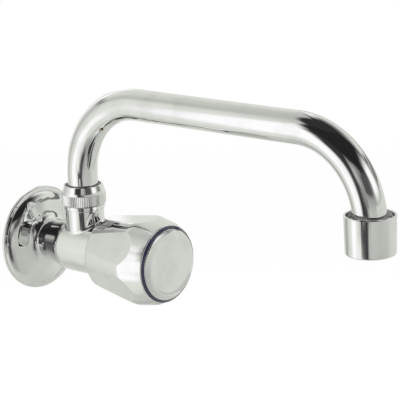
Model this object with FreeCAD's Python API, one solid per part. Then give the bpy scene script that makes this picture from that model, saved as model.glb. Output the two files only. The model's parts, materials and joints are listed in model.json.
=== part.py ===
import FreeCAD, Part
import math
import os

os.makedirs("parts", exist_ok=True)

# Wall-mounted kitchen tap. All sizes are in millimetres.
# The inlet axis is the Y axis, the wall's face is the plane y = 0, and +Z is up.
# "out" is a distance from the wall along the tap's axis, so out = -y. Heights are above that axis.

# Shared fits and edges
thread_clearance = 0.05
running_clearance = 0.05
axial_clearance = 0.05
seat_clearance = 0.05
o_ring_clearance = 0.02
machined_chamfer = 0.5
machined_round = 0.3
overcut = 1.0
hex_sides = 6

# Inlet shank in the wall
inlet_thread_r = 10.48
inlet_thread_length = 14.0
inlet_relief_r = 10.1
inlet_bore_r = 6.5
inlet_chamfer = 1.0

# Wall rosette
rosette_r = 27.9
rosette_height = 9.2
rosette_rim_width = 2.1
rosette_rim_height = 1.5
rosette_rim_round = 0.7
rosette_groove = 0.4
rosette_groove_round = 0.3
rosette_shoulder_inset = 4.6
rosette_shoulder_height = 3.95
rosette_shoulder_round = 8.4
rosette_waist_step = 1.55
rosette_waist_height = 6.55
rosette_waist_round = 6.5
rosette_sheet = 0.8
rosette_foot_width = 2.7
rosette_hub_wall = 0.75
rosette_land = 0.3

# Body casting
neck_r = 11.35
neck_length = 5.3
flare_length = 12.5
barrel_r = 13.9
flare_round = 14.0
mouth_chamfer = 0.6
leg_out = 35.6
boss_r = 10.2
boss_height = 24.0
boss_rim_r = 10.8
boss_rim_height = 2.4
boss_rim_round = 0.4
boss_fillet = 2.0
outlet_passage_r = 5.5
nipple_r = 10.0
nipple_length = 6.3
nipple_chamfer = 0.6
socket_depth = 13.3
socket_lead_in = 0.6

# Valve seat and chamber
seat_behind_leg = 8.6
seat_bore_r = 5.5
seat_lip_wall = 1.5
seat_lip_height = 1.5
seat_lip_round = 0.4
seat_taper_length = 3.0
chamber_r = 9.3
chamber_round = 0.8
passage_margin = 0.4
headwork_thread_r = 10.5
headwork_thread_length = 8.5

# Seat washer and plunger
closed_gap = 0.1
washer_r = 7.8
washer_thickness = 3.5
washer_round = 0.4
jumper_disc_r = 8.2
jumper_disc_thickness = 2.0
jumper_hex_flats = 12.5
jumper_floor = 1.4
jumper_grip = 4.3
washer_screw_r = 1.5
washer_screw_head_r = 3.2
washer_screw_head_height = 1.6
washer_screw_slot = 0.8

# Valve motion: screw lead and turns from shut to open
screw_lead = 2.0
turns_to_open = 2.5
valve_lift = screw_lead * turns_to_open
end_clearance = 0.5

# Bonnet and its gasket
gasket_thickness = 1.0
gasket_bore_r = 10.7
bonnet_hex_flats = 24.0
bonnet_hex_length = 5.0
bonnet_neck_r = 8.5
bonnet_top_length = 7.9
bonnet_chamfer = 0.8

# Spindle
spindle_r = 4.5
flange_r = 6.2
flange_thickness = 1.8
thrust_washer_thickness = 0.6
groove_width = 1.7
groove_depth = 1.35
o_ring_section_r = 0.66
groove_edge = 1.3
circlip_thickness = 1.0
circlip_r = 6.3
circlip_groove_r = 3.6
circlip_gap = 4.0
spline_tip_r = 4.05
spline_depth = 0.4
spline_teeth = 20
spline_start = 0.7
spline_length = 10.4

# Knob
knob_lap = 1.5
knob_length = 39.9
knob_back_r = 19.2
knob_back_round = 1.6
knob_max_r = 23.55
knob_shoulder = 12.2
knob_shoulder_round = 10.0
knob_front_r = 21.0
knob_front_round = 0.8
knob_flats = 6
flat_back_half = 18.65
flat_slope = 0.1075
knob_arris_round = 0.8
knob_cavity_back_r = 16.4
knob_cavity_front_r = 18.9
knob_cavity_round = 2.0
knob_web = 2.4
knob_hub_r = 8.5
knob_rib = 1.6
knob_rib_length = 7.0
insert_flats = 12.0
screw_seat = 2.2
screw_r = 1.95
screw_hole_clearance = 0.25
screw_head_r = 3.8
screw_head_height = 2.4
screw_head_pocket = 0.9
screw_head_round = 1.2
screw_length = 10.6
screw_slot_width = 1.0
screw_cross_length = 4.6
screw_slot_depth = 1.2
tapped_clearance = 0.05

# Blue ring and cap
ring_r = 19.75
ring_width = 1.2
ring_proud = 0.9
ring_sunk = 1.8
ring_ledge = 1.3
ring_ledge_thickness = 1.3
cap_crown = 0.5
cap_bevel = 2.9
cap_skirt_wall = 0.9
cap_skirt_length = 3.6
front_recess_depth = 9.4
cap_plate = 0.6
cap_edge = 0.3
cap_face_round = 5.0

# Spout joint
tube_r = 8.0
tube_wall = 1.0
socket_clearance = 0.05
tail_bottom_gap = 0.3
tail_bore_r = 5.4
tail_groove_width = 2.2
tail_groove_depth = 1.75
tail_ring_section_r = 0.87
tail_groove_pitch = 5.0
tail_groove_start = 1.6
spigot_length = 5.5
braze_gap = 0.02
split_ring_thickness = 1.5
split_ring_inset = 0.1
split_ring_gap = 2.4
split_groove_depth = 0.85
play = 0.15
guide_flange_thickness = 0.5
guide_wall = 1.35
guide_sunk = 0.4

# Union nut
nut_r = 11.6
nut_gap = 0.3
knurl_height = 5.8
knurl_ridges = 72
knurl_depth = 0.2
knurl_chamfer = 0.35
nut_shoulder_r = 11.4
nut_shoulder_rise = 0.6
nut_shoulder_round = 6.0
nut_top_r = 10.15
nut_blend = 0.5
nut_lip = 1.9
nut_mouth_clearance = 0.05
nut_mouth_chamfer = 0.2

# Bent tube
leg_straight = 6.3
leg_bend_r = 42.0
reach = 184.2
outlet_bend_r = 40.0
outlet_straight = 3.4

# Outlet and aerator
sleeve_r = 11.0
sleeve_height = 4.2
sleeve_floor = 1.0
housing_top_r = 12.15
housing_bottom_r = 11.85
housing_rise = 4.5
housing_height = 18.4
housing_edge = 0.8
housing_top_round = 0.25
aerator_gasket_thickness = 1.5
aerator_gasket_bore_r = 8.0
cartridge_flange = 1.0
cartridge_r = 9.8
cartridge_step_r = 9.1
cartridge_inner_r = 8.6
cartridge_ledge_r = 8.0
grid_height = 1.6
grid_bar = 0.7
grid_spokes = 12
grid_ring_r = 4.2
grid_lip = 1.3
outlet_lip_wall = 0.75
diffuser_thickness = 1.2
diffuser_hole_r = 0.6
diffuser_pitch = 3.2
diffuser_first_ring = 3.0
diffuser_ring_count = 2
screen_thickness = 0.5
screen_hole_r = 0.55
screen_pitch = 2.4
screen_first_ring = 1.8
screen_ring_count = 3
screen_step = 2.0

# Places along the tap's axis, worked out from the sizes above
bonnet_thread_r = headwork_thread_r - thread_clearance
seat_out = leg_out - seat_behind_leg
chamber_floor_out = seat_out - seat_lip_height
bonnet_end_out = leg_out + outlet_passage_r + passage_margin
mouth_out = bonnet_end_out + headwork_thread_length
hex_start_out = mouth_out + gasket_thickness
hex_end_out = hex_start_out + bonnet_hex_length
washer_out = seat_out + closed_gap
disc_out = washer_out + washer_thickness
disc_end_out = disc_out + jumper_disc_thickness
jumper_floor_out = disc_end_out + jumper_floor
jumper_end_out = bonnet_end_out + jumper_grip
spindle_end_out = jumper_floor_out + valve_lift + end_clearance
hex_bore_end_out = jumper_end_out + valve_lift + end_clearance
flange_out = hex_bore_end_out + axial_clearance
thrust_out = flange_out + flange_thickness + axial_clearance
shoulder_out = thrust_out + thrust_washer_thickness + axial_clearance
bonnet_top_out = shoulder_out + bonnet_top_length
circlip_out = bonnet_top_out + axial_clearance
spline_out = circlip_out + circlip_thickness + spline_start
spindle_top_out = spline_out + spline_length
knob_back_out = hex_start_out + knob_lap
knob_front_out = knob_back_out + knob_length
hub_out = circlip_out + circlip_thickness + axial_clearance + spline_start
screw_web_out = spindle_top_out + end_clearance
screw_seat_out = screw_web_out + screw_seat
recess_floor_out = knob_front_out - front_recess_depth
cavity_end_out = recess_floor_out - knob_web
ring_back_out = knob_front_out - ring_sunk
ring_front_out = knob_front_out + ring_proud
shoulder_knob_out = knob_front_out - knob_shoulder
screw_end_out = screw_seat_out - screw_length

# Places along the spout's foot, worked out from the sizes above
nipple_top = boss_height + nipple_length
socket_bottom = nipple_top - socket_depth
socket_r = tube_r + socket_clearance
tail_bottom = socket_bottom + tail_bottom_gap
nut_bottom = boss_height + nut_gap
knurl_top = nut_bottom + knurl_height
split_ring_r = nipple_r - split_ring_inset
split_bottom = nipple_top + play
split_top = split_bottom + split_ring_thickness
guide_bottom = split_top + play
lip_bottom = guide_bottom + guide_flange_thickness
nut_top = lip_bottom + nut_lip
tube_foot = lip_bottom
guide_bore_r = tube_r + running_clearance
guide_r = guide_bore_r + guide_wall
nut_mouth_r = guide_r + nut_mouth_clearance
nut_bore_r = nipple_r + thread_clearance
tube_inner_r = tube_r - tube_wall
run_height = tube_foot + leg_straight + leg_bend_r
outlet_bend_end = run_height - outlet_bend_r
tube_end = outlet_bend_end - outlet_straight
outlet_out = leg_out + reach

# Heights at the outlet, worked out from the sizes above
sleeve_bottom = tube_end - sleeve_floor
sleeve_top = sleeve_bottom + sleeve_height
housing_top = sleeve_top + housing_rise
housing_bottom = housing_top - housing_height
housing_bore_r = sleeve_r + thread_clearance
aerator_gasket_bottom = sleeve_bottom - aerator_gasket_thickness
cartridge_top = aerator_gasket_bottom
housing_step = cartridge_top - cartridge_flange
cartridge_bottom = housing_bottom + grid_lip
screen_bottom = cartridge_top - screen_step
diffuser_bottom = screen_bottom - diffuser_thickness


def vec(x, y, z):
    return FreeCAD.Vector(x, y, z)


# Directions and two ways to lay a profile: round the tap's axis, or round an upright axis
ORIGIN = vec(0, 0, 0)
OUTWARD = vec(0, -1, 0)
UP = vec(0, 0, 1)


def beside_tap_axis(out, radius):
    return vec(radius, -out, 0)


def beside_upright(height, radius):
    return vec(radius, 0, height)


def rounded_outline(corners, lay):
    """Face inside corners (along, radius, rounding); each rounding becomes a tangent arc."""
    flat = [FreeCAD.Vector(corner[0], corner[1], 0) for corner in corners]
    entries = []
    for index, here in enumerate(flat):
        rounding = corners[index][2] if len(corners[index]) > 2 else 0
        if rounding == 0:
            entries.append((here, None, here))
            continue
        back = (flat[index - 1] - here).normalize()
        ahead = (flat[(index + 1) % len(flat)] - here).normalize()
        half = back.getAngle(ahead) / 2
        middle = (back + ahead).normalize()
        centre = here + middle * (rounding / math.sin(half))
        reach_along = rounding / math.tan(half)
        entries.append((here + back * reach_along, centre - middle * rounding, here + ahead * reach_along))
    edges = []
    for index, (start, arc_middle, end) in enumerate(entries):
        if arc_middle is not None:
            points = [lay(point.x, point.y) for point in (start, arc_middle, end)]
            edges.append(Part.Arc(*points).toShape())
        following = entries[(index + 1) % len(entries)][0]
        if (following - end).Length > 1e-6:
            edges.append(Part.LineSegment(lay(end.x, end.y), lay(following.x, following.y)).toShape())
    return Part.Face(Part.Wire(edges))


def turned(corners):
    """Solid of revolution about the tap's axis."""
    solid = rounded_outline(corners, beside_tap_axis).revolve(ORIGIN, vec(0, 1, 0), 360)
    return solid if solid.Volume > 0 else solid.reversed()


def turned_upright(corners, out):
    """Solid of revolution about the upright axis at this distance from the wall."""
    solid = rounded_outline(corners, beside_upright).revolve(ORIGIN, UP, 360)
    solid = solid if solid.Volume > 0 else solid.reversed()
    solid.translate(vec(0, -out, 0))
    return solid


def rod(radius, out_from, out_to):
    return Part.makeCylinder(radius, out_to - out_from, vec(0, -out_from, 0), OUTWARD)


def post(radius, bottom, top, out, x=0.0, y=0.0):
    return Part.makeCylinder(radius, top - bottom, vec(x, y - out, bottom), UP)


def torus_on_tap_axis(centre_r, section_r, out):
    return Part.makeTorus(centre_r, section_r, vec(0, -out, 0), OUTWARD)


def prism(points, height):
    """Prism on a closed outline of points, pushed along a vector."""
    return Part.Face(Part.makePolygon(points + points[:1])).extrude(height)


def polygon(half_flats, count, out):
    """Corners of a regular polygon square to the tap's axis, with one flat facing up."""
    corner_r = half_flats / math.cos(math.pi / count)
    turns = [math.pi / 2 + (index + 0.5) * 2 * math.pi / count for index in range(count)]
    return [vec(corner_r * math.cos(turn), -out, corner_r * math.sin(turn)) for turn in turns]


def polygon_rod(half_flats, count, out_from, out_to):
    return prism(polygon(half_flats, count, out_from), vec(0, out_from - out_to, 0))


def save(name, shape):
    shape.exportStep("parts/" + name + ".step")


def tap_body():
    """Casting: shank, neck, flare and barrel on one axis, with the spout boss standing on the barrel."""
    outside = turned([
        (-inlet_thread_length, 0),
        (-inlet_thread_length, inlet_thread_r - inlet_chamfer),
        (inlet_chamfer - inlet_thread_length, inlet_thread_r),
        (0, inlet_thread_r),
        (0, inlet_relief_r),
        (rosette_height, inlet_relief_r),
        (rosette_height, neck_r, machined_round),
        (rosette_height + neck_length, neck_r, flare_round),
        (rosette_height + neck_length + flare_length, barrel_r, flare_round),
        (mouth_out - mouth_chamfer, barrel_r),
        (mouth_out, barrel_r - mouth_chamfer),
        (mouth_out, 0),
    ])
    boss = post(boss_r, 0, boss_height, leg_out)
    body = outside.fuse(boss)
    seam = [edge for edge in body.Edges if is_boss_seam(edge)]
    body = body.makeFillet(boss_fillet, seam)
    rim = turned_upright([
        (boss_height - boss_rim_height, 0),
        (boss_height - boss_rim_height, boss_rim_r, boss_rim_round),
        (boss_height, boss_rim_r, boss_rim_round),
        (boss_height, 0),
    ], leg_out)
    nipple = turned_upright([
        (boss_height - boss_rim_height, 0),
        (boss_height - boss_rim_height, nipple_r),
        (nipple_top - nipple_chamfer, nipple_r),
        (nipple_top, nipple_r - nipple_chamfer),
        (nipple_top, 0),
    ], leg_out)
    body = body.fuse([rim, nipple])
    waterway = turned([
        (-inlet_thread_length - overcut, 0),
        (-inlet_thread_length - overcut, inlet_bore_r),
        (chamber_floor_out - seat_taper_length, inlet_bore_r),
        (chamber_floor_out, seat_bore_r),
        (seat_out, seat_bore_r),
        (seat_out, seat_bore_r + seat_lip_wall, seat_lip_round),
        (chamber_floor_out, seat_bore_r + seat_lip_wall),
        (chamber_floor_out, chamber_r, chamber_round),
        (bonnet_end_out, chamber_r),
        (bonnet_end_out, headwork_thread_r),
        (mouth_out + overcut, headwork_thread_r),
        (mouth_out + overcut, 0),
    ])
    passage = post(outlet_passage_r, 0, socket_bottom + overcut, leg_out)
    socket = post(socket_r, socket_bottom, nipple_top + overcut, leg_out)
    lead_in_foot = vec(0, -leg_out, nipple_top - socket_lead_in)
    lead_in = Part.makeCone(socket_r, socket_r + socket_lead_in, socket_lead_in, lead_in_foot, UP)
    return body.cut(waterway).cut(passage).cut(socket).cut(lead_in)


def is_boss_seam(edge):
    """The edge where the boss leaves the barrel: above the axis and all of it on the boss's side wall."""
    points = edge.discretize(5)
    on_wall = all(abs(math.hypot(point.x, point.y + leg_out) - boss_r) < 0.01 for point in points)
    return on_wall and all(overcut < point.z < boss_height - overcut for point in points)


def wall_rosette():
    """Pressed plate of even sheet: rolled rim on the wall, rounded shoulder, waist and a hub at the neck."""
    rim_inner = rosette_r - rosette_rim_width
    groove = (rosette_rim_height - rosette_groove, rim_inner - rosette_groove)
    shoulder = (rosette_shoulder_height, rosette_r - rosette_shoulder_inset)
    waist = (rosette_waist_height, neck_r + rosette_waist_step)
    hub = (rosette_height, neck_r)
    hub_bore_r = neck_r - rosette_hub_wall
    return turned([
        (0, rosette_r),
        (rosette_rim_height, rosette_r, rosette_rim_round),
        (rosette_rim_height, rim_inner, rosette_groove_round),
        (*groove, rosette_groove_round),
        (*shoulder, rosette_shoulder_round),
        (*waist, rosette_waist_round),
        (*hub, machined_round),
        (rosette_height, hub_bore_r),
        (rosette_height - rosette_land, hub_bore_r),
        (*behind_sheet(shoulder, waist, hub), rosette_waist_round + rosette_sheet),
        (*behind_sheet(groove, shoulder, waist), rosette_shoulder_round - rosette_sheet),
        (0, rosette_r - rosette_foot_width),
    ])


def behind_sheet(before, corner, after):
    """The corner of the plate's back: both of its faces moved in by the sheet's thickness."""
    first = FreeCAD.Vector(corner[1] - before[1], before[0] - corner[0], 0).normalize()
    second = FreeCAD.Vector(after[1] - corner[1], corner[0] - after[0], 0).normalize()
    shift = (first + second) * (rosette_sheet / (1 + first.dot(second)))
    return corner[0] + shift.x, corner[1] + shift.y


def bonnet():
    """Headwork body: thread, hexagon, and a bore for plunger, flange and spindle in turn."""
    core = turned([
        (bonnet_end_out, 0),
        (bonnet_end_out, bonnet_thread_r - bonnet_chamfer),
        (bonnet_end_out + bonnet_chamfer, bonnet_thread_r),
        (hex_start_out, bonnet_thread_r),
        (hex_start_out, bonnet_neck_r),
        (bonnet_top_out - bonnet_chamfer, bonnet_neck_r),
        (bonnet_top_out, bonnet_neck_r - bonnet_chamfer),
        (bonnet_top_out, 0),
    ])
    hexagon = polygon_rod(bonnet_hex_flats / 2, hex_sides, hex_start_out, hex_end_out)
    hex_corner_r = bonnet_hex_flats / 2 / math.cos(math.pi / hex_sides)
    dome = turned([
        (hex_start_out, 0),
        (hex_start_out, hex_corner_r),
        (hex_end_out - bonnet_chamfer, hex_corner_r),
        (hex_end_out, hex_corner_r - 2 * bonnet_chamfer),
        (hex_end_out, 0),
    ])
    hex_bore_half = jumper_hex_flats / 2 + running_clearance
    hex_bore = polygon_rod(hex_bore_half, hex_sides, bonnet_end_out - overcut, hex_bore_end_out)
    flange_bore = rod(flange_r + running_clearance, hex_bore_end_out, shoulder_out)
    spindle_bore = rod(spindle_r + running_clearance, hex_bore_end_out, bonnet_top_out + overcut)
    return core.fuse(hexagon.common(dome)).cut(hex_bore).cut(flange_bore).cut(spindle_bore)


def bonnet_gasket():
    return turned([
        (mouth_out, gasket_bore_r),
        (mouth_out, barrel_r - mouth_chamfer),
        (hex_start_out, barrel_r - mouth_chamfer),
        (hex_start_out, gasket_bore_r),
    ])


def jumper():
    """Valve plunger: disc that carries the washer, hexagonal shank, blind threaded bore."""
    disc = turned([
        (disc_out, 0),
        (disc_out, jumper_disc_r, machined_round),
        (disc_end_out, jumper_disc_r, machined_round),
        (disc_end_out, 0),
    ])
    middle_out = disc_out + jumper_disc_thickness / 2
    shank = polygon_rod(jumper_hex_flats / 2, hex_sides, middle_out, jumper_end_out)
    bore = rod(spindle_r + running_clearance, jumper_floor_out, jumper_end_out + overcut)
    screw_hole = rod(washer_screw_r + tapped_clearance, disc_out - overcut, jumper_floor_out + overcut)
    return disc.fuse(shank).cut(bore).cut(screw_hole)


def seat_washer():
    """Rubber disc with a pocket for the screw's head."""
    disc = turned([
        (washer_out, 0),
        (washer_out, washer_r, washer_round),
        (disc_out, washer_r, washer_round),
        (disc_out, 0),
    ])
    hole = rod(washer_screw_r + tapped_clearance, washer_out - overcut, disc_out + overcut)
    pocket_end_out = washer_out + washer_screw_head_height
    pocket = rod(washer_screw_head_r + seat_clearance, washer_out - overcut, pocket_end_out)
    return disc.cut(hole).cut(pocket)


def slot_bar(length, width, out_from, out_to, turn):
    """Cutter for a straight slot across a screw's head, turned about the tap's axis."""
    bar = Part.makeBox(length, out_to - out_from, width, vec(-length / 2, -out_to, -width / 2))
    bar.rotate(ORIGIN, vec(0, 1, 0), turn)
    return bar


def washer_screw():
    """Cheese-head screw that clamps the rubber disc, with a straight slot."""
    head = rod(washer_screw_head_r, washer_out, washer_out + washer_screw_head_height)
    shank = rod(washer_screw_r, washer_out, jumper_floor_out)
    slot_length = 2 * (washer_screw_head_r + overcut)
    slot = slot_bar(slot_length, washer_screw_slot, washer_out, washer_out + washer_screw_slot, 0)
    return head.fuse(shank).cut(slot)


def groove_outs():
    """Middles of the spindle's two O-ring grooves, set in evenly from the bonnet's bore ends."""
    first = shoulder_out + groove_edge + groove_width / 2
    last = bonnet_top_out - groove_edge - groove_width / 2
    return [first, last]


def spline_points(tip_r, out):
    """Toothed outline: tip and root corners in turn round the spindle's head."""
    step = math.pi / spline_teeth
    points = []
    for index in range(2 * spline_teeth):
        radius = tip_r if index % 2 == 0 else tip_r - spline_depth
        points.append(vec(radius * math.cos(index * step), -out, radius * math.sin(index * step)))
    return points


def spindle():
    """Non-rising spindle: threaded foot, thrust flange, grooved neck, circlip groove and splined head."""
    foot = turned([
        (spindle_end_out, 0),
        (spindle_end_out, spindle_r - machined_chamfer),
        (spindle_end_out + machined_chamfer, spindle_r),
        (flange_out, spindle_r),
        (flange_out, flange_r, machined_round),
        (flange_out + flange_thickness, flange_r, machined_round),
        (flange_out + flange_thickness, spindle_r),
        (circlip_out, spindle_r),
        (circlip_out, circlip_groove_r),
        (circlip_out + circlip_thickness + axial_clearance, circlip_groove_r),
        (circlip_out + circlip_thickness + axial_clearance, spline_tip_r),
        (spline_out, spline_tip_r),
        (spline_out, 0),
    ])
    head = prism(spline_points(spline_tip_r, spline_out), vec(0, -spline_length, 0))
    piece = foot.fuse(head)
    for middle in groove_outs():
        outer = rod(spindle_r + overcut, middle - groove_width / 2, middle + groove_width / 2)
        inner = rod(spindle_r - groove_depth, middle - groove_width, middle + groove_width)
        piece = piece.cut(outer.cut(inner))
    tapped_hole = rod(screw_r + tapped_clearance, screw_end_out - end_clearance, spindle_top_out + overcut)
    return piece.cut(tapped_hole)


def thrust_washer():
    ring = rod(flange_r, thrust_out, thrust_out + thrust_washer_thickness)
    return ring.cut(rod(spindle_r + running_clearance, thrust_out - overcut, shoulder_out + overcut))


def spindle_o_rings():
    centre_r = spindle_r - groove_depth + o_ring_section_r + o_ring_clearance
    return Part.makeCompound([torus_on_tap_axis(centre_r, o_ring_section_r, out) for out in groove_outs()])


def spindle_circlip():
    """Open snap ring in the spindle's groove, in front of the bonnet."""
    ring = rod(circlip_r, circlip_out, circlip_out + circlip_thickness)
    ring = ring.cut(rod(circlip_groove_r + seat_clearance, circlip_out - overcut, spline_out))
    gap = Part.makeBox(circlip_gap, 3 * circlip_thickness, 2 * circlip_r,
                       vec(-circlip_gap / 2, -circlip_out - 2 * circlip_thickness, 0))
    return ring.cut(gap)


def knob_shell():
    """Faceted knob: tapered round skirt with six flats, hollow behind and ribbed to a central hub."""
    body = turned([
        (knob_back_out, 0),
        (knob_back_out, knob_back_r, knob_back_round),
        (shoulder_knob_out, knob_max_r, knob_shoulder_round),
        (knob_front_out, knob_front_r, knob_front_round),
        (knob_front_out, 0),
    ])
    flat_front_half = flat_back_half + flat_slope * (knob_length + 2 * overcut)
    back = Part.makePolygon(closed(polygon(flat_back_half, knob_flats, knob_back_out - overcut)))
    front = Part.makePolygon(closed(polygon(flat_front_half, knob_flats, knob_front_out + overcut)))
    body = body.common(Part.makeLoft([back, front], True, True))
    arrises = [edge for face in body.Faces if is_knob_flat(face) for edge in face.Edges]
    body = body.makeFillet(knob_arris_round, arrises)
    cavity = turned([
        (knob_back_out - overcut, 0),
        (knob_back_out - overcut, knob_cavity_back_r),
        (cavity_end_out, knob_cavity_front_r, knob_cavity_round),
        (cavity_end_out, 0),
    ])
    hub = rod(knob_hub_r, hub_out, cavity_end_out)
    ribs = [knob_rib_at(index) for index in range(knob_flats)]
    body = body.cut(cavity.cut(hub).cut(Part.makeCompound(ribs)))
    insert_hole = polygon_rod(insert_flats / 2 + seat_clearance, hex_sides, hub_out - overcut, screw_web_out)
    screw_hole = rod(screw_r + screw_hole_clearance, screw_web_out - overcut, screw_seat_out + overcut)
    head_hole = rod(screw_head_r + screw_head_pocket, screw_seat_out, recess_floor_out + overcut)
    skirt_r = ring_r - ring_width - ring_ledge
    recess = rod(skirt_r + seat_clearance, recess_floor_out, knob_front_out + overcut)
    ring_recess = rod(ring_r + seat_clearance, ring_back_out, knob_front_out + overcut)
    return body.cut(insert_hole).cut(screw_hole).cut(head_hole).cut(recess).cut(ring_recess)


def is_knob_flat(face):
    """The loft's side faces are its only spline faces."""
    return "BSpline" in face.Surface.TypeId


def closed(points):
    return points + points[:1]


def knob_rib_at(index):
    """One radial rib between hub and skirt, at the front end of the hollow."""
    rib = Part.makeBox(knob_max_r, knob_rib_length, knob_rib, vec(0, -cavity_end_out, -knob_rib / 2))
    rib.rotate(ORIGIN, vec(0, 1, 0), 90.0 + index * 360.0 / knob_flats)
    return rib


def knob_insert():
    """Plastic insert in the hub, broached for the spindle's splines."""
    piece = polygon_rod(insert_flats / 2, hex_sides, hub_out, screw_web_out)
    broach = spline_points(spline_tip_r + running_clearance, hub_out - overcut)
    return piece.cut(prism(broach, vec(0, -knob_length, 0)))


def knob_screw():
    """Pan-head screw through the knob's web into the spindle, with a cross recess."""
    head = turned([
        (screw_seat_out, 0),
        (screw_seat_out, screw_head_r),
        (screw_seat_out + screw_head_height, screw_head_r, screw_head_round),
        (screw_seat_out + screw_head_height, 0),
    ])
    shank = rod(screw_r, screw_end_out, screw_seat_out + screw_head_height / 2)
    piece = head.fuse(shank)
    top_out = screw_seat_out + screw_head_height
    for turn in (0, 90):
        bar = slot_bar(screw_cross_length, screw_slot_width, top_out - screw_slot_depth, top_out, turn)
        piece = piece.cut(bar)
    return piece


def index_ring():
    """Coloured ring at the knob's front, with an inner ledge under the cap."""
    inner_r = ring_r - ring_width
    ledge_out = ring_back_out + ring_ledge_thickness
    return turned([
        (ring_back_out, inner_r - ring_ledge),
        (ring_back_out, ring_r),
        (ring_front_out, ring_r, machined_round),
        (ring_front_out, inner_r, machined_round),
        (ledge_out, inner_r),
        (ledge_out, inner_r - ring_ledge),
    ])


def index_cap():
    """Plated cap: flat bevelled face and a skirt that clips behind the ring."""
    cap_r = ring_r - ring_width - seat_clearance
    ledge_out = ring_back_out + ring_ledge_thickness
    skirt_r = ring_r - ring_width - ring_ledge - seat_clearance
    skirt_end_out = ring_back_out - cap_skirt_length
    crown_out = ring_front_out + cap_crown
    return turned([
        (ledge_out - cap_plate, 0),
        (ledge_out - cap_plate, skirt_r - cap_skirt_wall),
        (skirt_end_out, skirt_r - cap_skirt_wall),
        (skirt_end_out, skirt_r),
        (ledge_out, skirt_r),
        (ledge_out, cap_r),
        (ring_front_out - cap_edge, cap_r),
        (crown_out, cap_r - cap_bevel, cap_face_round),
        (crown_out, 0),
    ])


def knurled_band():
    """Band of straight ridges, turned down a little at both edges."""
    points = []
    for index in range(2 * knurl_ridges):
        radius = nut_r if index % 2 == 0 else nut_r - knurl_depth
        turn = index * math.pi / knurl_ridges
        points.append(vec(radius * math.cos(turn), radius * math.sin(turn) - leg_out, nut_bottom))
    band = prism(points, vec(0, 0, knurl_height))
    edges = turned_upright([
        (nut_bottom, 0),
        (nut_bottom, nut_r - knurl_chamfer),
        (nut_bottom + knurl_chamfer, nut_r),
        (knurl_top - knurl_chamfer, nut_r),
        (knurl_top, nut_r - knurl_chamfer),
        (knurl_top, 0),
    ], leg_out)
    return band.common(edges)


def spout_nut():
    """Union nut: knurled band below, tapered and polished above, with a mouth round the guide ring."""
    crown = turned_upright([
        (knurl_top - nut_blend, 0),
        (knurl_top - nut_blend, nut_shoulder_r),
        (knurl_top + nut_shoulder_rise, nut_shoulder_r, nut_shoulder_round),
        (nut_top, nut_top_r, machined_round),
        (nut_top, 0),
    ], leg_out)
    inside = turned_upright([
        (nut_bottom - overcut, 0),
        (nut_bottom - overcut, nut_bore_r),
        (lip_bottom, nut_bore_r),
        (lip_bottom, nut_mouth_r),
        (nut_top - nut_mouth_chamfer, nut_mouth_r),
        (nut_top, nut_mouth_r + nut_mouth_chamfer),
        (nut_top + overcut, nut_mouth_r + nut_mouth_chamfer),
        (nut_top + overcut, 0),
    ], leg_out)
    return knurled_band().fuse(crown).cut(inside)


def spout_guide_ring():
    """Plastic ring: flange under the nut's lip and a sleeve that fills its mouth round the tube."""
    return turned_upright([
        (guide_bottom, guide_bore_r),
        (guide_bottom, split_ring_r),
        (lip_bottom, split_ring_r),
        (lip_bottom, guide_r),
        (nut_top - guide_sunk, guide_r),
        (nut_top - guide_sunk, guide_bore_r),
    ], leg_out)


def tail_groove_heights():
    first = tail_bottom + tail_groove_start + tail_groove_width / 2
    return [first, first + tail_groove_pitch]


def spout_tail():
    """Brass bush brazed in the tube's foot: two O-ring grooves and the groove of the split ring."""
    piece = turned_upright([
        (tail_bottom, tail_bore_r),
        (tail_bottom, tube_r - machined_chamfer),
        (tail_bottom + machined_chamfer, tube_r),
        (split_bottom, tube_r),
        (split_bottom, tube_r - split_groove_depth),
        (split_top, tube_r - split_groove_depth),
        (split_top, tube_r),
        (tube_foot, tube_r),
        (tube_foot, tube_inner_r - braze_gap),
        (tube_foot + spigot_length, tube_inner_r - braze_gap),
        (tube_foot + spigot_length, tail_bore_r),
    ], leg_out)
    for middle in tail_groove_heights():
        low = middle - tail_groove_width / 2
        high = low + tail_groove_width
        outer = post(tube_r + overcut, low, high, leg_out)
        inner = post(tube_r - tail_groove_depth, low - overcut, high + overcut, leg_out)
        piece = piece.cut(outer.cut(inner))
    return piece


def spout_o_rings():
    centre_r = tube_r - tail_groove_depth + tail_ring_section_r + o_ring_clearance
    rings = [Part.makeTorus(centre_r, tail_ring_section_r, vec(0, -leg_out, height), UP)
             for height in tail_groove_heights()]
    return Part.makeCompound(rings)


def split_ring():
    """Open ring in the tail's top groove; the nut holds it down on the nipple."""
    ring = post(split_ring_r, split_bottom, split_top, leg_out)
    bore_r = tube_r - split_groove_depth + seat_clearance
    ring = ring.cut(post(bore_r, split_bottom - overcut, split_top + overcut, leg_out))
    gap = Part.makeBox(split_ring_gap, 2 * split_ring_r, 3 * split_ring_thickness,
                       vec(-split_ring_gap / 2, -leg_out, split_bottom - split_ring_thickness))
    return ring.cut(gap)


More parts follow.
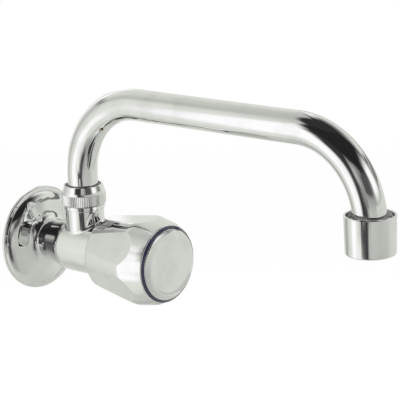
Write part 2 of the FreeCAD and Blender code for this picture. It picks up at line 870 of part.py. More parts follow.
def spout_tube():
    """Tube with one bend up from the boss and one down to the outlet, drawn along its centre line."""
    foot = vec(0, -leg_out, tube_foot)
    leg_top = vec(0, -leg_out, run_height - leg_bend_r)
    run_start = vec(0, -leg_out - leg_bend_r, run_height)
    run_end = vec(0, outlet_bend_r - outlet_out, run_height)
    drop_start = vec(0, -outlet_out, outlet_bend_end)
    end = vec(0, -outlet_out, tube_end)
    diagonal = math.sqrt(0.5)
    leg_middle = vec(0, -leg_out - leg_bend_r * (1 - diagonal), run_height - leg_bend_r * (1 - diagonal))
    outlet_middle = vec(0, outlet_bend_r * (1 - diagonal) - outlet_out,
                        run_height - outlet_bend_r * (1 - diagonal))
    path = Part.Wire([
        Part.LineSegment(foot, leg_top).toShape(),
        Part.Arc(leg_top, leg_middle, run_start).toShape(),
        Part.LineSegment(run_start, run_end).toShape(),
        Part.Arc(run_end, outlet_middle, drop_start).toShape(),
        Part.LineSegment(drop_start, end).toShape(),
    ])
    walls = []
    for radius in (tube_r, tube_inner_r):
        section = Part.Wire(Part.makeCircle(radius, foot, UP))
        walls.append(path.makePipeShell([section], True, True))
    return walls[0].cut(walls[1])


def outlet_sleeve():
    """Threaded sleeve brazed on the tube's end, with a floor that the tube stands on."""
    return turned_upright([
        (sleeve_bottom, tube_inner_r),
        (sleeve_bottom, sleeve_r - machined_chamfer),
        (sleeve_bottom + machined_chamfer, sleeve_r),
        (sleeve_top - machined_chamfer, sleeve_r),
        (sleeve_top, sleeve_r - machined_chamfer),
        (sleeve_top, tube_r + braze_gap),
        (tube_end, tube_r + braze_gap),
        (tube_end, tube_inner_r),
    ], outlet_out)


def aerator_housing():
    """Collar: open rim above, thread, step for the cartridge, and an inward lip below."""
    lip_r = cartridge_r - outlet_lip_wall
    return turned_upright([
        (housing_bottom, lip_r, machined_round),
        (housing_bottom, housing_bottom_r, housing_edge),
        (housing_top, housing_top_r, housing_top_round),
        (housing_top, housing_bore_r, housing_top_round),
        (housing_step, housing_bore_r),
        (housing_step, cartridge_r + seat_clearance),
        (cartridge_bottom, cartridge_r + seat_clearance),
        (cartridge_bottom, lip_r),
    ], outlet_out)


def aerator_gasket():
    ring = post(sleeve_r - seat_clearance, aerator_gasket_bottom, sleeve_bottom, outlet_out)
    hole_bottom = aerator_gasket_bottom - overcut
    return ring.cut(post(aerator_gasket_bore_r, hole_bottom, sleeve_bottom + overcut, outlet_out))


def aerator_cartridge():
    """Plastic cup with two inner ledges and a spoked grid across its mouth."""
    cup = turned_upright([
        (cartridge_bottom, cartridge_ledge_r),
        (cartridge_bottom, cartridge_r),
        (housing_step, cartridge_r),
        (housing_step, sleeve_r - seat_clearance),
        (cartridge_top, sleeve_r - seat_clearance),
        (cartridge_top, cartridge_step_r),
        (screen_bottom, cartridge_step_r),
        (screen_bottom, cartridge_inner_r),
        (diffuser_bottom, cartridge_inner_r),
        (diffuser_bottom, cartridge_ledge_r),
    ], outlet_out)
    grid_top = cartridge_bottom + grid_height
    ring = post(grid_ring_r + grid_bar / 2, cartridge_bottom, grid_top, outlet_out)
    ring_hole = post(grid_ring_r - grid_bar / 2, cartridge_bottom - overcut, grid_top + overcut, outlet_out)
    spokes = []
    length = cartridge_ledge_r + cartridge_r
    for index in range(grid_spokes // 2):
        spoke = Part.makeBox(length, grid_bar, grid_height, vec(-length / 2, -grid_bar / 2, cartridge_bottom))
        spoke.rotate(ORIGIN, UP, index * 360.0 / grid_spokes)
        spoke.translate(vec(0, -outlet_out, 0))
        spokes.append(spoke)
    return cup.fuse([ring.cut(ring_hole)] + spokes)


def holes_in_rings(radius, bottom, top, first_ring, ring_count, pitch):
    """Posts set out on rings one pitch apart, and at about that pitch along each, to be cut from a disc."""
    holes = []
    for ring in range(ring_count):
        ring_radius = first_ring + ring * pitch
        count = round(2 * math.pi * ring_radius / pitch)
        for index in range(count):
            turn = index * 2 * math.pi / count
            holes.append(post(radius, bottom - overcut, top + overcut, outlet_out,
                              ring_radius * math.cos(turn), ring_radius * math.sin(turn)))
    return Part.makeCompound(holes)


def aerator_diffuser():
    disc = post(cartridge_inner_r - seat_clearance, diffuser_bottom, screen_bottom, outlet_out)
    holes = holes_in_rings(diffuser_hole_r, diffuser_bottom, screen_bottom,
                           diffuser_first_ring, diffuser_ring_count, diffuser_pitch)
    return disc.cut(holes)


def aerator_screen():
    top = screen_bottom + screen_thickness
    disc = post(cartridge_step_r - seat_clearance, screen_bottom, top, outlet_out)
    holes = holes_in_rings(screen_hole_r, screen_bottom, top,
                           screen_first_ring, screen_ring_count, screen_pitch)
    return disc.cut(holes)


for make in (
    tap_body, wall_rosette, bonnet, bonnet_gasket, jumper, seat_washer, washer_screw,
    spindle, thrust_washer, spindle_o_rings, spindle_circlip,
    knob_shell, knob_insert, knob_screw, index_ring, index_cap,
    spout_nut, spout_guide_ring, spout_tail, spout_o_rings, split_ring, spout_tube,
    outlet_sleeve, aerator_housing, aerator_gasket, aerator_cartridge, aerator_diffuser, aerator_screen,
):
    save(make.__name__, make())
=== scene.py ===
import json
import math

import bmesh
import bpy
from mathutils import Matrix, Vector


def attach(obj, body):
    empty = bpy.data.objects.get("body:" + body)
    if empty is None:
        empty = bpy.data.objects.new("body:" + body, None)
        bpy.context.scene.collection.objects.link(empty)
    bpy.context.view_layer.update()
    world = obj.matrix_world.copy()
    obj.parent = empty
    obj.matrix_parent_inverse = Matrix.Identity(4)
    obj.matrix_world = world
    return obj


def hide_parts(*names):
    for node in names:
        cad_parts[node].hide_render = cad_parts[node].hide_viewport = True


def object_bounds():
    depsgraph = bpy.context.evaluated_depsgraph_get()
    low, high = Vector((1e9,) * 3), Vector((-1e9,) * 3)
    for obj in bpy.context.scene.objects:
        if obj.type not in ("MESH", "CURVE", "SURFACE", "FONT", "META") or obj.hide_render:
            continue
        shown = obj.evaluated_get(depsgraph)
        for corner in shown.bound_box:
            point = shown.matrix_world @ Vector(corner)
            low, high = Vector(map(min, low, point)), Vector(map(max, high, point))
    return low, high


# Chromed wall tap: looks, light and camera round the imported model. All lengths are in metres.
MM = 0.001

# Camera, fitted to the photograph's outlines; the picture is 400 x 400 pixels
PICTURE_SIZE = 400
CAMERA_AZIMUTH = math.radians(-48.22)
CAMERA_ELEVATION = math.radians(14.90)
CAMERA_ROLL = math.radians(-2.55)
CAMERA_DISTANCE = 899.96 * MM
CAMERA_TARGET = Vector((61.66, -62.22, 15.25)) * MM
FOCAL_LENGTH_PIXELS = 1653.24
SENSOR_WIDTH = 36.0

# Floor, well below the tap, because the tap hangs on a wall
FLOOR_DROP = 0.15
FLOOR_SIZE = 6.0

# The camera sees the floor give way to plain white between two distances, and this share of white nearer by
FLOOR_FADE = (0.3, 1.1)
FLOOR_NEAR_SHARE = 0.65
PAPER_LEVELS = (0.86, 0.9)
PAPER_FIBRES = 900.0

# Soft light from above, for the plastic pieces and the floor
OVERHEAD_SIZE = 1.0
OVERHEAD_POWER = 9.0
OVERHEAD_PLACE = (-0.2, -0.25, 1.1)

# Studio that polished metal mirrors: a dome of soft panels round the tap, seen only in reflections.
# Seen from the dome's centre, azimuth 0 is straight out from the wall, 90 is towards +X, and angles are in
# degrees. Each panel is (azimuth from, to, elevation from, to, softness, level); later panels lie over
# earlier ones. The table is below the ceiling's edge, which fades between two elevations.
DOME_SEGMENTS = 96
DOME_RINGS = 48
DOME_CENTRE = Vector((-0.085, -0.201, -0.243))
DOME_RADIUS = 0.591
CEILING_LEVEL = 0.032
TABLE_LEVEL = 0.616
CEILING_EDGE = (14.1, 68.4)
STUDIO_PANELS = [
    (126, 214, -9, 74, 5, 0.54),
    (64, 172, -14, 61, 23, 0.78),
    (-170, -108, -44, 65, 25, 0.81),
    (77, 123, 35, 41, 2, 0.17),
    (-145, -102, 9, 67, 9, 1.04),
    (140, 159, 18, 47, 2, 1.12),
    (-118, -86, -27, 6, 2, 0.95),
    (61, 87, 37, 47, 2, 0.25),
    (19, 54, 38, 130, 17, 1.12),
    (-130, -65, 39, 111, 15, 0.04),
    (6, 96, -14, 33, 2, 0.72),
    (134, 159, -27, -13, 25, 0.46),
    (-60, -49, 4, 8, 2, 1.12),
    (163, 182, 44, 47, 6, 0.18),
    (144, 148, 11, 40, 9, 0.02),
    (-141, 71, 62, 119, 12, 0.02),
    (-95, 6, -78, -2, 40, 0.40),
    (-94, -72, 4, 45, 7, 0.06),
    (114, 122, 46, 67, 11, 0.92),
    (-147, -120, -15, 51, 16, 1.11),
    (-85, -70, 8, 16, 2, 1.12),
    (-75, -26, 43, 61, 11, 0.50),
    (-53, -40, 28, 64, 2, 0.31),
    (-26, 41, -114, 22, 40, 0.54),
    (-39, 4, 42, 59, 6, 0.09),
    (-79, -53, -38, 35, 27, 0.04),
    (55, 138, -11, 2, 2, 0.58),
    (65, 76, 49, 53, 2, 0.01),
]
# Grey panels and the table are slightly warm and green; white and black ones are neutral
PAPER_TINT = (0.985, 1.0, 0.945, 1.0)
DARK_TO_TINTED = (0.1, 0.35)
TINTED_TO_WHITE = (0.8, 1.0)
BACKGROUND_LEVEL = 1.0
AMBIENT_LEVEL = 0.85

# Inlet thread, G 1/2, cut on the shank in the wall
THREAD_PITCH = 1.814 * MM
THREAD_CREST_R = 10.48 * MM
THREAD_ROOT_R = 9.32 * MM
THREAD_END_R = 9.2 * MM
THREAD_RUNOUT = 1.6 * MM
SHANK_LENGTH = 14.0 * MM
SHANK_RELIEF_R = 10.1 * MM
SHANK_BORE_R = 6.5 * MM
SHANK_FRONT_RIM = 0.05 * MM
THREAD_START = 0.2 * MM
THREAD_COLUMNS = 96
THREAD_ROWS_PER_PITCH = 12
THREAD_SHARP_ANGLE = math.radians(35)

# Rounding of the Whitworth form: how far the flanks are cut off at root and crest, and how much they curve
FLANK_STEEPNESS = 1.5
FLANK_OFFSET = 0.25
FLANK_CURVE = 0.35

# Points of the shank closer than this are one point
MERGE_DISTANCE = 0.002 * MM

# Knurled band of the spout's nut, by height, with its roughness and how softly it ends
KNURL_BOTTOM = 24.3 * MM
KNURL_TOP = 30.1 * MM
KNURL_ROUGHNESS = 0.27
KNURL_FADE = 0.15 * MM

# Front of the knob as the photograph shows it: the ring slopes up to a cap with a wide bevel. Corners are
# (distance out from the wall's face, radius) in millimetres, and a blended corner adds how far its curve
# reaches along the line before it and the line after it.
TURNED_COLUMNS = 192
TURNED_SHARP_ANGLE = math.radians(30)
BLEND_STEPS = 12
RING_PROFILE = [(91.0, 18.35), (91.0, 19.75), (93.2, 19.75, 0.12, 0.12), (94.1, 18.5, 0.12, 0.08),
                (94.1, 18.35)]
CAP_PROFILE = [(91.0, 0.0), (91.0, 18.3), (94.6, 18.3, 0.35, 0.7), (95.6, 15.6, 1.4, 1.6), (95.65, 0.0)]

# The knob's skin draws in further towards the ring than in the solid. From SKIN_FRONT_OUT on, its radius past
# the recess for the ring shrinks to the share SKIN_DRAW_IN, it reaches further out, and it leans forward.
SKIN_FRONT_OUT = 90.9 * MM
SKIN_RECESS_R = 19.8 * MM
SKIN_DRAW_IN = 0.2
SKIN_REACH = 0.85 * MM
SKIN_TILT = math.radians(15.0)

# Brazing metal in the collar's mouth; corners as above, but with the height over the sleeve's top
FILLET_PROFILE = [(0.02, 8.03), (0.02, 10.8), (1.3, 10.8, 0.5, 0.6), (2.3, 8.9, 0.8, 0.5), (2.8, 8.03)]

# How far past a limit a point may lie and still count as on it, and the same at the wall's face
SLACK = 0.1 * MM
WALL_SLACK = 0.01 * MM

# Axes that the turned parts were turned on
INLET_AXIS = Vector((0, 0, 0))
SPOUT_AXIS = Vector((0, -35.6, 0)) * MM

# Noise in the materials: scales in waves per metre, levels between which a look changes, and bump heights
SMUDGE_SCALE = 70.0
SMUDGE_EDGES = (0.42, 0.72)
HAZE_SCALE = 900.0
HAZE_STRETCH = (1.0, 1.0, 5.0)
HAZE_HEIGHT = 0.0006 * MM
METAL_TONE_SCALE = 160.0
PLASTIC_TONE_SCALE = 220.0
TONE_EDGES = (0.3, 0.7)
TOOL_RING_SPACING = 0.22 * MM
TOOL_RING_HEIGHT = 0.012 * MM
COAT_ROUGHNESS = 0.05


def linked_object(name, data):
    new_object = bpy.data.objects.new(name, data)
    bpy.context.scene.collection.objects.link(new_object)
    return new_object


def make_camera():
    back = Vector((
        math.sin(CAMERA_AZIMUTH) * math.cos(CAMERA_ELEVATION),
        -math.cos(CAMERA_AZIMUTH) * math.cos(CAMERA_ELEVATION),
        math.sin(CAMERA_ELEVATION),
    ))
    level_right = Vector((0, 0, 1)).cross(back).normalized()
    level_up = back.cross(level_right)
    right = level_right * math.cos(CAMERA_ROLL) + level_up * math.sin(CAMERA_ROLL)
    up = level_up * math.cos(CAMERA_ROLL) - level_right * math.sin(CAMERA_ROLL)
    data = bpy.data.cameras.new("photo_camera")
    data.sensor_width = SENSOR_WIDTH
    data.lens = SENSOR_WIDTH * FOCAL_LENGTH_PIXELS / PICTURE_SIZE
    camera = linked_object("photo_camera", data)
    turn = Matrix((right, up, back)).transposed()
    camera.matrix_world = Matrix.Translation(CAMERA_TARGET + back * CAMERA_DISTANCE) @ turn.to_4x4()
    bpy.context.scene.camera = camera


class Nodes:
    """Short way to build a node tree: each call adds a node and links what is given to its inputs."""

    def __init__(self, tree):
        self.tree = tree
        tree.nodes.clear()

    def add(self, kind, inputs=None, **settings):
        node = self.tree.nodes.new(kind)
        for name, value in settings.items():
            setattr(node, name, value)
        for key, value in (inputs or {}).items():
            if isinstance(value, bpy.types.NodeSocket):
                self.tree.links.new(value, node.inputs[key])
            else:
                node.inputs[key].default_value = value
        return node

    def math(self, operation, *values):
        return self.add("ShaderNodeMath", dict(enumerate(values)), operation=operation).outputs[0]

    def smooth_step(self, value, low, high, to_low=0.0, to_high=1.0):
        inputs = {"Value": value, "From Min": low, "From Max": high, "To Min": to_low, "To Max": to_high}
        return self.add("ShaderNodeMapRange", inputs, interpolation_type="SMOOTHSTEP").outputs["Result"]

    def mix_colour(self, factor, first, second):
        return self.add("ShaderNodeMix", {0: factor, 6: first, 7: second}, data_type="RGBA").outputs[2]

    def mix_level(self, factor, first, second):
        return self.add("ShaderNodeMix", {0: factor, 2: first, 3: second}, data_type="FLOAT").outputs[0]

    def noise(self, vector, scale, detail=2.0, roughness=0.5):
        inputs = {"Vector": vector, "Scale": scale, "Detail": detail, "Roughness": roughness}
        return self.add("ShaderNodeTexNoise", inputs).outputs["Fac"]

    def stretched(self, vector, factors):
        return self.add("ShaderNodeMapping", {"Vector": vector, "Scale": factors}).outputs[0]


def grey(level):
    return (level, level, level, 1.0)


def new_material(name):
    material = bpy.data.materials.new(name)
    material.use_nodes = True
    nodes = Nodes(material.node_tree)
    place = nodes.add("ShaderNodeTexCoord").outputs["Object"]
    return material, nodes, place


def panel_mask(nodes, azimuth, elevation, panel):
    azimuth_from, azimuth_to, elevation_from, elevation_to, softness, _ = panel
    middle = (azimuth_from + azimuth_to) / 2
    half_width = (azimuth_to - azimuth_from) / 2
    turned = nodes.math("WRAP", nodes.math("SUBTRACT", azimuth, middle), 180.0, -180.0)
    sideways = nodes.math("ABSOLUTE", turned)
    across = nodes.smooth_step(sideways, half_width - softness / 2, half_width + softness / 2, 1.0, 0.0)
    low = nodes.smooth_step(elevation, elevation_from - softness / 2, elevation_from + softness / 2)
    high = nodes.smooth_step(elevation, elevation_to - softness / 2, elevation_to + softness / 2, 1.0, 0.0)
    return nodes.math("MULTIPLY", across, nodes.math("MULTIPLY", low, high))


def make_studio_dome():
    mesh = bpy.data.meshes.new("studio_dome")
    shell = bmesh.new()
    bmesh.ops.create_uvsphere(shell, u_segments=DOME_SEGMENTS, v_segments=DOME_RINGS, radius=DOME_RADIUS)
    shell.to_mesh(mesh)
    shell.free()
    dome = linked_object("studio_dome", mesh)
    dome.location = DOME_CENTRE
    material, nodes, place = new_material("studio_panels")
    direction = nodes.add("ShaderNodeVectorMath", {0: place}, operation="NORMALIZE").outputs[0]
    parts = nodes.add("ShaderNodeSeparateXYZ", {0: direction})
    outward = nodes.math("MULTIPLY", parts.outputs[1], -1.0)
    azimuth = nodes.math("DEGREES", nodes.math("ARCTAN2", parts.outputs[0], outward))
    elevation = nodes.math("DEGREES", nodes.math("ARCSINE", parts.outputs[2]))
    below = nodes.smooth_step(elevation, *CEILING_EDGE, 1.0, 0.0)
    level = nodes.mix_level(below, CEILING_LEVEL, TABLE_LEVEL)
    for panel in STUDIO_PANELS:
        level = nodes.mix_level(panel_mask(nodes, azimuth, elevation, panel), level, panel[-1])
    not_dark = nodes.smooth_step(level, *DARK_TO_TINTED)
    not_white = nodes.smooth_step(level, *TINTED_TO_WHITE, 1.0, 0.0)
    tint = nodes.mix_colour(nodes.math("MULTIPLY", not_dark, not_white), grey(1.0), PAPER_TINT)
    colour = nodes.add("ShaderNodeVectorMath", {0: tint, "Scale": level}, operation="SCALE").outputs[0]
    glow = nodes.add("ShaderNodeEmission", {"Color": colour, "Strength": 1.0})
    nodes.add("ShaderNodeOutputMaterial", {"Surface": glow.outputs[0]})
    mesh.materials.append(material)
    dome.visible_camera = False
    dome.visible_diffuse = False
    dome.visible_transmission = False
    dome.visible_volume_scatter = False
    dome.visible_shadow = False


def make_world():
    world = bpy.data.worlds.new("studio")
    bpy.context.scene.world = world
    world.use_nodes = True
    nodes = Nodes(world.node_tree)
    rays = nodes.add("ShaderNodeLightPath")
    shown = nodes.math("MAXIMUM", rays.outputs["Is Camera Ray"], rays.outputs["Is Transmission Ray"])
    colour = nodes.mix_colour(shown, grey(AMBIENT_LEVEL), grey(BACKGROUND_LEVEL))
    background = nodes.add("ShaderNodeBackground", {"Color": colour, "Strength": 1.0})
    nodes.add("ShaderNodeOutputWorld", {"Surface": background.outputs[0]})


def make_light():
    data = bpy.data.lights.new("overhead_softbox", "AREA")
    data.shape = "RECTANGLE"
    data.size = OVERHEAD_SIZE
    data.size_y = OVERHEAD_SIZE
    data.energy = OVERHEAD_POWER
    light = linked_object("overhead_softbox", data)
    light.location = OVERHEAD_PLACE
    light.visible_glossy = False


def make_floor(lowest):
    mesh = bpy.data.meshes.new("floor")
    half = FLOOR_SIZE / 2
    level = lowest - FLOOR_DROP
    corners = [(-half, -half, level), (half, -half, level), (half, half, level), (-half, half, level)]
    mesh.from_pydata(corners, [], [(0, 1, 2, 3)])
    floor = linked_object("floor", mesh)
    material, nodes, place = new_material("floor_paper")
    fibre = nodes.noise(place, PAPER_FIBRES, 3.0)
    colour = nodes.mix_colour(fibre, *(grey(level) for level in PAPER_LEVELS))
    paper = nodes.add("ShaderNodeBsdfDiffuse", {"Color": colour})
    glow = nodes.add("ShaderNodeEmission", {"Color": grey(1.0), "Strength": 1.0})
    rays = nodes.add("ShaderNodeLightPath")
    flat_place = nodes.add("ShaderNodeVectorMath", {0: place, 1: (1.0, 1.0, 0.0)}, operation="MULTIPLY")
    distance = nodes.add("ShaderNodeVectorMath", {0: flat_place.outputs[0]}, operation="LENGTH")
    share = nodes.smooth_step(distance.outputs["Value"], *FLOOR_FADE, FLOOR_NEAR_SHARE, 1.0)
    shown = nodes.math("MULTIPLY", rays.outputs["Is Camera Ray"], share)
    mixed = nodes.add("ShaderNodeMixShader", {0: shown, 1: paper.outputs[0], 2: glow.outputs[0]})
    nodes.add("ShaderNodeOutputMaterial", {"Surface": mixed.outputs[0]})
    mesh.materials.append(material)
    floor.visible_glossy = False


def finish_material(nodes, inputs):
    shader = nodes.add("ShaderNodeBsdfPrincipled", inputs)
    nodes.add("ShaderNodeOutputMaterial", {"Surface": shader.outputs[0]})


def bump(nodes, height, distance, strength=1.0, normal=None):
    inputs = {"Height": height, "Distance": distance, "Strength": strength}
    if normal is not None:
        inputs["Normal"] = normal
    return nodes.add("ShaderNodeBump", inputs).outputs[0]


def chrome(name, dark, light, smooth, smudged, wave_size, wave_height, grip=None):
    """Electroplated finish: faint smudges in gloss and tone, and the slow waviness of buffed metal.

    A grip (lowest, highest, roughness) is a band between two heights that the knurl leaves duller.
    """
    material, nodes, place = new_material(name)
    smudge = nodes.smooth_step(nodes.noise(place, SMUDGE_SCALE, 5.0, 0.6), *SMUDGE_EDGES)
    haze = nodes.noise(nodes.stretched(place, HAZE_STRETCH), HAZE_SCALE, 2.0)
    wave = bump(nodes, nodes.noise(place, 1 / wave_size, 1.0), wave_height)
    fine = bump(nodes, haze, HAZE_HEIGHT, 0.6, wave)
    roughness = nodes.smooth_step(smudge, 0.0, 1.0, smooth, smudged)
    if grip is not None:
        lowest, highest, dull = grip
        height = nodes.add("ShaderNodeSeparateXYZ", {0: place}).outputs[2]
        above = nodes.smooth_step(height, lowest - KNURL_FADE, lowest + KNURL_FADE)
        below = nodes.smooth_step(height, highest - KNURL_FADE, highest + KNURL_FADE, 1.0, 0.0)
        roughness = nodes.mix_level(nodes.math("MULTIPLY", above, below), roughness, dull)
    finish_material(nodes, {
        "Base Color": nodes.mix_colour(smudge, light, dark),
        "Metallic": 1.0,
        "Roughness": roughness,
        "Normal": fine,
    })
    return material


def lathe_rings(nodes, place, axis, centre, spacing):
    """Rings left by turning: they run round the axis on cylinders and on flat ends alike."""
    offset = nodes.add("ShaderNodeVectorMath", {0: place, 1: centre}, operation="SUBTRACT").outputs[0]
    parts = nodes.add("ShaderNodeSeparateXYZ", {0: offset})
    across = [1.0, 1.0, 1.0]
    across[axis] = 0.0
    flat = nodes.add("ShaderNodeVectorMath", {0: offset, 1: across}, operation="MULTIPLY").outputs[0]
    radius = nodes.add("ShaderNodeVectorMath", {0: flat}, operation="LENGTH").outputs["Value"]
    along = nodes.math("ADD", parts.outputs[axis], radius)
    line = nodes.add("ShaderNodeCombineXYZ", {0: along}).outputs[0]
    return nodes.noise(line, 1 / spacing, 2.0)


def machined(name, axis, centre, dark, light, smooth, rough):
    """Turned metal: rings from the tool, tone that varies with handling."""
    material, nodes, place = new_material(name)
    rings = lathe_rings(nodes, place, axis, centre, TOOL_RING_SPACING)
    tone = nodes.noise(place, METAL_TONE_SCALE, 4.0, 0.6)
    finish_material(nodes, {
        "Base Color": nodes.mix_colour(tone, dark, light),
        "Metallic": 1.0,
        "Roughness": nodes.smooth_step(tone, *TONE_EDGES, smooth, rough),
        "Normal": bump(nodes, rings, TOOL_RING_HEIGHT, 0.7),
    })
    return material


def moulded(name, dark, light, smooth, rough, grain_size, grain_height, coat=0.0):
    """Moulded plastic or rubber, or cast filler: fine grain and slightly uneven tone."""
    material, nodes, place = new_material(name)
    tone = nodes.noise(place, PLASTIC_TONE_SCALE, 3.0, 0.55)
    grain = nodes.noise(place, 1 / grain_size, 3.0, 0.6)
    finish_material(nodes, {
        "Base Color": nodes.mix_colour(tone, dark, light),
        "Roughness": nodes.smooth_step(tone, *TONE_EDGES, smooth, rough),
        "Coat Weight": coat,
        "Coat Roughness": COAT_ROUGHNESS,
        "Normal": bump(nodes, grain, grain_height, 0.8),
    })
    return material


def build_materials():
    plate_dark = (0.805, 0.81, 0.805, 1)
    plate_light = (0.88, 0.885, 0.88, 1)
    brass_dark = (0.58, 0.41, 0.17, 1)
    brass_light = (0.74, 0.56, 0.27, 1)
    return {
        "chrome_plate": chrome("chrome_plate", plate_dark, plate_light, 0.045, 0.09, 22 * MM, 0.02 * MM),
        "knurled_plate": chrome("knurled_plate", plate_dark, plate_light, 0.045, 0.09, 22 * MM, 0.02 * MM,
                                grip=(KNURL_BOTTOM, KNURL_TOP, KNURL_ROUGHNESS)),
        "thread_plate": chrome("thread_plate", (0.62, 0.62, 0.58, 1), (0.76, 0.77, 0.73, 1), 0.16, 0.3,
                               8 * MM, 0.01 * MM),
        "plated_plastic": chrome("plated_plastic", plate_dark, plate_light, 0.06, 0.11, 18 * MM, 0.06 * MM),
        "brass": machined("brass", 1, INLET_AXIS, brass_dark, brass_light, 0.2, 0.38),
        "brass_upright": machined("brass_upright", 2, SPOUT_AXIS, brass_dark, brass_light, 0.2, 0.38),
        "steel": machined("steel", 1, INLET_AXIS, (0.48, 0.48, 0.49, 1), (0.64, 0.64, 0.655, 1), 0.24, 0.4),
        "rubber": moulded("rubber", (0.018, 0.018, 0.02, 1), (0.045, 0.045, 0.047, 1), 0.5, 0.72,
                          0.3 * MM, 0.02 * MM),
        "dark_plastic": moulded("dark_plastic", (0.035, 0.035, 0.04, 1), (0.06, 0.06, 0.066, 1), 0.36, 0.52,
                                0.4 * MM, 0.012 * MM),
        "white_plastic": moulded("white_plastic", (0.74, 0.74, 0.70, 1), (0.84, 0.84, 0.82, 1), 0.32, 0.46,
                                 0.5 * MM, 0.01 * MM, coat=0.15),
        "brazing": moulded("brazing", (0.2, 0.2, 0.195, 1), (0.38, 0.38, 0.37, 1), 0.2, 0.4,
                           0.6 * MM, 0.06 * MM),
        "blue_plastic": moulded("blue_plastic", (0.018, 0.019, 0.042, 1), (0.028, 0.029, 0.06, 1), 0.1, 0.2,
                                0.8 * MM, 0.004 * MM, coat=0.5),
    }


def is_shank(mesh, face):
    """Outside of the plain shank behind the wall's face, and its ends, but not the bore."""
    corners = [mesh.vertices[index].co for index in face.vertices]
    behind_wall = min(corner.y for corner in corners) > -WALL_SLACK
    outside_bore = max(math.hypot(corner.x, corner.z) for corner in corners) > SHANK_BORE_R + SLACK
    return behind_wall and outside_bore


def copy_of_node(node, name, kept, moved_place, moved_normal):
    """Copy of a CAD node's kept faces, smooth as they were; functions move their places and normals."""
    source = node.data
    used = sorted({index for face in kept for index in face.vertices})
    place_of = {index: place for place, index in enumerate(used)}
    mesh = bpy.data.meshes.new(name)
    mesh.from_pydata([moved_place(source.vertices[index].co) for index in used], [],
                     [[place_of[index] for index in face.vertices] for face in kept])
    mesh.polygons.foreach_set("use_smooth", [True] * len(kept))
    normals = []
    for face in kept:
        for loop in face.loop_indices:
            corner = source.vertices[source.loops[loop].vertex_index].co
            normals.append(moved_normal(corner, source.corner_normals[loop].vector.copy()))
    mesh.normals_split_custom_set(normals)
    return linked_object(name, mesh)


def casting_without_shank(node):
    """Copy of the casting with room for the threaded shank."""
    kept = [face for face in node.data.polygons if not is_shank(node.data, face)]
    return copy_of_node(node, "tap_casting", kept, Vector.copy, lambda place, normal: normal)


def on_front_edge(place):
    """Front end of the knob's skin, and the mouth of the recess for the ring."""
    return -place.y > SKIN_FRONT_OUT and math.hypot(place.x, place.z) > SKIN_RECESS_R - SLACK


def drawn_in(place):
    if not on_front_edge(place):
        return place.copy()
    radius = math.hypot(place.x, place.z)
    scale = (SKIN_RECESS_R + (radius - SKIN_RECESS_R) * SKIN_DRAW_IN) / radius
    return Vector((place.x * scale, place.y - SKIN_REACH, place.z * scale))


def tilted_forward(place, normal):
    radius = math.hypot(place.x, place.z)
    faces_out = normal.x * place.x + normal.z * place.z > 0
    if not on_front_edge(place) or not faces_out or -normal.y > math.sin(SKIN_TILT):
        return normal
    across = math.cos(SKIN_TILT) / radius
    return Vector((place.x * across, -math.sin(SKIN_TILT), place.z * across))


def knob_body(node):
    """Copy of the knob's shell whose skin runs on to the ring, as in the photograph."""
    return copy_of_node(node, "knob_body", list(node.data.polygons), drawn_in, tilted_forward)


def eased(value, low, high):
    share = min(max((value - low) / (high - low), 0.0), 1.0)
    return share * share * (3 - 2 * share)


def finished_piece(name, shell, sharp_angle):
    """Object from a built shell, smooth but for the edges sharper than the angle."""
    bmesh.ops.recalc_face_normals(shell, faces=shell.faces)
    mesh = bpy.data.meshes.new(name)
    shell.to_mesh(mesh)
    shell.free()
    mesh.polygons.foreach_set("use_smooth", [True] * len(mesh.polygons))
    mesh.set_sharp_from_angle(angle=sharp_angle)
    return linked_object(name, mesh)


def thread_depth(turn):
    """Whitworth form, 0 at the root and 1 at the crest, for a place along the pitch from 0 to 1."""
    ridge = 1 - abs((turn % 1) * 2 - 1)
    flank = min(max(ridge * FLANK_STEEPNESS - FLANK_OFFSET, 0.0), 1.0)
    return eased(flank, 0.0, 1.0) * FLANK_CURVE + flank * (1 - FLANK_CURVE)


def shank_radius(depth_in_wall, angle):
    turn = depth_in_wall / THREAD_PITCH - angle / (2 * math.pi)
    radius = THREAD_ROOT_R + (THREAD_CREST_R - THREAD_ROOT_R) * thread_depth(turn)
    radius = SHANK_RELIEF_R + (radius - SHANK_RELIEF_R) * eased(depth_in_wall, THREAD_START, THREAD_RUNOUT)
    chamfer = THREAD_END_R + max(0.0, SHANK_LENGTH - depth_in_wall)
    return min(radius, max(chamfer, THREAD_END_R))


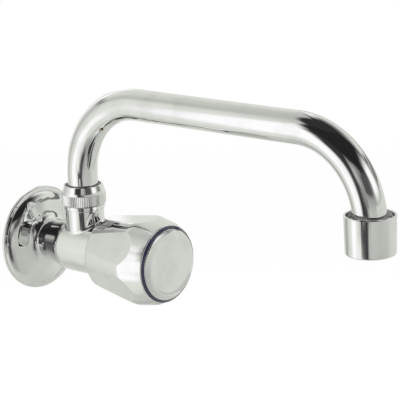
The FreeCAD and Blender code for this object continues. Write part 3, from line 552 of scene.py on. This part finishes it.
def threaded_shank():
    """Shank in the wall, with its thread cut as one helix, the lead-in at its end and the flat end face."""
    shell = bmesh.new()
    turns = math.ceil(SHANK_LENGTH / THREAD_PITCH) + 1
    rings = []
    for row in range(-THREAD_ROWS_PER_PITCH, turns * THREAD_ROWS_PER_PITCH + 1):
        ring = []
        for column in range(THREAD_COLUMNS):
            angle = 2 * math.pi * column / THREAD_COLUMNS
            place = (row / THREAD_ROWS_PER_PITCH + angle / (2 * math.pi)) * THREAD_PITCH
            place = min(max(place, 0.0), SHANK_LENGTH)
            radius = shank_radius(place, angle)
            ring.append(shell.verts.new((radius * math.cos(angle), place, radius * math.sin(angle))))
        rings.append(ring)
    for row, (first, second) in enumerate(zip(rings, rings[1:])):
        for column in range(THREAD_COLUMNS - 1):
            after = column + 1
            shell.faces.new((first[column], first[after], second[after], second[column]))
        one_pitch_on = row + THREAD_ROWS_PER_PITCH
        if one_pitch_on + 1 < len(rings):
            shell.faces.new((first[-1], rings[one_pitch_on][0], rings[one_pitch_on + 1][0], second[-1]))
    bmesh.ops.remove_doubles(shell, verts=shell.verts, dist=MERGE_DISTANCE)
    bmesh.ops.dissolve_degenerate(shell, edges=shell.edges, dist=MERGE_DISTANCE)
    open_ends = [edge for edge in shell.edges if edge.is_boundary]
    inner = {}
    for edge in open_ends:
        for vert in edge.verts:
            if vert not in inner:
                at_end = vert.co.y > SHANK_LENGTH / 2
                radius = SHANK_BORE_R if at_end else SHANK_RELIEF_R - SHANK_FRONT_RIM
                scale = radius / math.hypot(vert.co.x, vert.co.z)
                inner[vert] = shell.verts.new((vert.co.x * scale, vert.co.y, vert.co.z * scale))
    for edge in open_ends:
        first, second = edge.verts
        shell.faces.new((first, second, inner[second], inner[first]))
    return finished_piece("inlet_thread", shell, THREAD_SHARP_ANGLE)


def blended_outline(corners):
    """Points of an outline in metres, with its blended corners curved."""
    outline = []
    for index, corner in enumerate(corners):
        place = Vector(corner[:2])
        if len(corner) == 2:
            outline.append(place)
            continue
        before = (Vector(corners[index - 1][:2]) - place).normalized()
        after = (Vector(corners[index + 1][:2]) - place).normalized()
        start = place + before * corner[2]
        end = place + after * corner[3]
        for step in range(BLEND_STEPS + 1):
            share = step / BLEND_STEPS
            outline.append(start.lerp(place, share).lerp(place.lerp(end, share), share))
    return [point * MM for point in outline]


def turned_piece(name, corners):
    """Solid turned about the tap's axis; an outline that starts off the axis closes on itself."""
    outline = blended_outline(corners)
    angles = [2 * math.pi * column / TURNED_COLUMNS for column in range(TURNED_COLUMNS)]
    shell = bmesh.new()
    rings = []
    for out, radius in outline:
        if radius == 0:
            rings.append([shell.verts.new((0, -out, 0))] * TURNED_COLUMNS)
            continue
        ring = [(radius * math.cos(angle), -out, radius * math.sin(angle)) for angle in angles]
        rings.append([shell.verts.new(place) for place in ring])
    if outline[0][1] > 0:
        rings.append(rings[0])
    for first, second in zip(rings, rings[1:]):
        for column in range(TURNED_COLUMNS):
            after = (column + 1) % TURNED_COLUMNS
            shell.faces.new(dict.fromkeys((first[column], first[after], second[after], second[column])))
    return finished_piece(name, shell, TURNED_SHARP_ANGLE)


def braze_fillet(sleeve):
    """Metal that fills the angle between the spout's tube and the sleeve brazed on it."""
    corners = [sleeve.matrix_world @ Vector(corner) for corner in sleeve.bound_box]
    middle = sum(corners, Vector()) / len(corners)
    top = max(corner.z for corner in corners)
    fillet = turned_piece("braze_fillet", FILLET_PROFILE)
    upright = Matrix.Rotation(-math.pi / 2, 4, "X")
    fillet.data.transform(Matrix.Translation((middle.x, middle.y, top)) @ upright)
    return fillet


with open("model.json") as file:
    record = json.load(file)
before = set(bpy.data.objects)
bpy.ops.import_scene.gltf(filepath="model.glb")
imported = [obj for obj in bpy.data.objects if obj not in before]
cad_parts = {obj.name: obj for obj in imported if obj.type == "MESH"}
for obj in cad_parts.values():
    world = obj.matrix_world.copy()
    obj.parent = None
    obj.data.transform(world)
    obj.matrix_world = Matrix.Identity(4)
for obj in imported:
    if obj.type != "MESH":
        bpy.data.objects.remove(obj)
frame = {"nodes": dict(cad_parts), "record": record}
cad_low, cad_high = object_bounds()
bpy.context.scene.view_settings.view_transform = "Standard"
make_camera()
make_world()
make_light()
make_studio_dome()
make_floor(cad_low.z)

# Every CAD node keeps its shape and takes the material of its slot, or one of its own
materials = build_materials()
slot_of = {row["node"]: row["material_slot"] for row in frame["record"]["subparts"]}
own_material = {"spout_tail": "brass_upright", "spout_nut": "knurled_plate"}
for node, slot in slot_of.items():
    mesh = frame["nodes"][node].data
    mesh.materials.clear()
    mesh.materials.append(materials[own_material.get(node, slot)])

# The casting's plain shank gives way to the threaded one
casting = casting_without_shank(frame["nodes"]["tap_body"])
casting.data.materials.append(materials["chrome_plate"])
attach(casting, "tap")
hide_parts("tap_body")
thread = threaded_shank()
thread.data.materials.append(materials["thread_plate"])
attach(thread, "tap")

# The knob's front pieces take the shapes that the photograph shows
front_pieces = {
    "knob_shell": knob_body(frame["nodes"]["knob_shell"]),
    "index_ring": turned_piece("knob_ring", RING_PROFILE),
    "index_cap": turned_piece("knob_cap", CAP_PROFILE),
}
for node, piece in front_pieces.items():
    piece.data.materials.append(materials[slot_of[node]])
    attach(piece, "knob")
    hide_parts(node)

# The collar's mouth shows the brazing round the tube
fillet = braze_fillet(frame["nodes"]["outlet_sleeve"])
fillet.data.materials.append(materials["brazing"])
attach(fillet, "spout")
